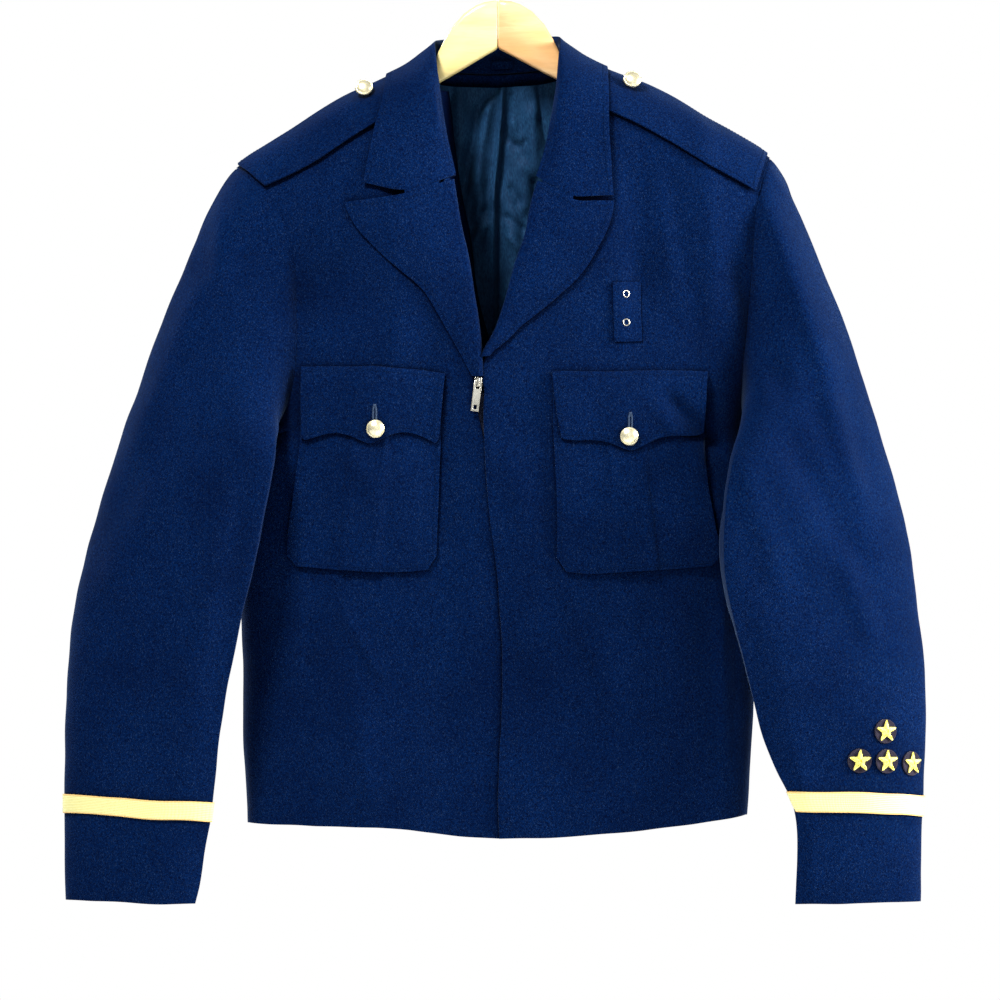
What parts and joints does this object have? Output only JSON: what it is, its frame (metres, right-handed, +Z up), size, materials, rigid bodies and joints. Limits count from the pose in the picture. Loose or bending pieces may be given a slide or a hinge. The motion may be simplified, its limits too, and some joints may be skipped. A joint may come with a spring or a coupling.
{
  "type": "military uniform jacket on a clothes hanger",
  "caption": "Waist-length military uniform jacket with notch lapels, flapped breast pockets, shoulder straps and gold cuff braid, hanging on a wooden clothes hanger by its hook.",
  "frame": {"origin": "inside top of the hanger's hook, where it rests on a rail", "axes": "+Z up, the jacket's front faces -Y, the wearer's left is +X"},
  "size_m": [0.759, 0.1654, 0.873],
  "materials": {
    "navy_wool": "fuzzy dark navy wool serge",
    "teal_lining": "smooth dark teal satin lining",
    "gold_braid": "pale gold woven braid and embroidery",
    "gold_metal": "polished gilt",
    "silver_metal": "bright plated metal of the eyelets and the zip's slider",
    "zip_metal": "dark worn zip metal on dark tape",
    "pale_wood": "pale varnished wood",
    "steel_wire": "bright steel wire"
  },
  "bodies": {
    "jacket_and_hanger": {"front_right": "navy_wool", "front_left": "navy_wool", "back": "navy_wool", "sleeve_right": "navy_wool", "sleeve_left": "navy_wool", "collar": "navy_wool", "lapel_right": "navy_wool", "lapel_left": "navy_wool", "pocket_right": "navy_wool", "pocket_left": "navy_wool", "flap_right": "navy_wool", "flap_left": "navy_wool", "epaulette_right": "navy_wool", "epaulette_left": "navy_wool", "badge_tab": "navy_wool", "hanger_loop": "navy_wool", "lining_back": "teal_lining", "cuff_braid_right": "gold_braid", "cuff_braid_left": "gold_braid", "star_top": "gold_braid", "star_inner": "gold_braid", "star_middle": "gold_braid", "star_outer": "gold_braid", "button_flap_right": "gold_metal", "button_flap_left": "gold_metal", "button_epaulette_right": "gold_metal", "button_epaulette_left": "gold_metal", "eyelet_upper": "silver_metal", "eyelet_lower": "silver_metal", "zip": "zip_metal", "zip_slider": "silver_metal", "hanger_right": "pale_wood", "hanger_left": "pale_wood", "hanger_hook": "steel_wire"},
    "pull_tab": {"pull_tab": "silver_metal"}
  },
  "joints": [
    {"name": "pull_tab_swing", "type": "hinge", "parent": "jacket_and_hanger", "child": "pull_tab", "pos_m": [-0.0173, -0.0646, -0.4107], "axis": [-0.9921, 0, 0.1253], "range_deg": [0, 120]}
  ]
}
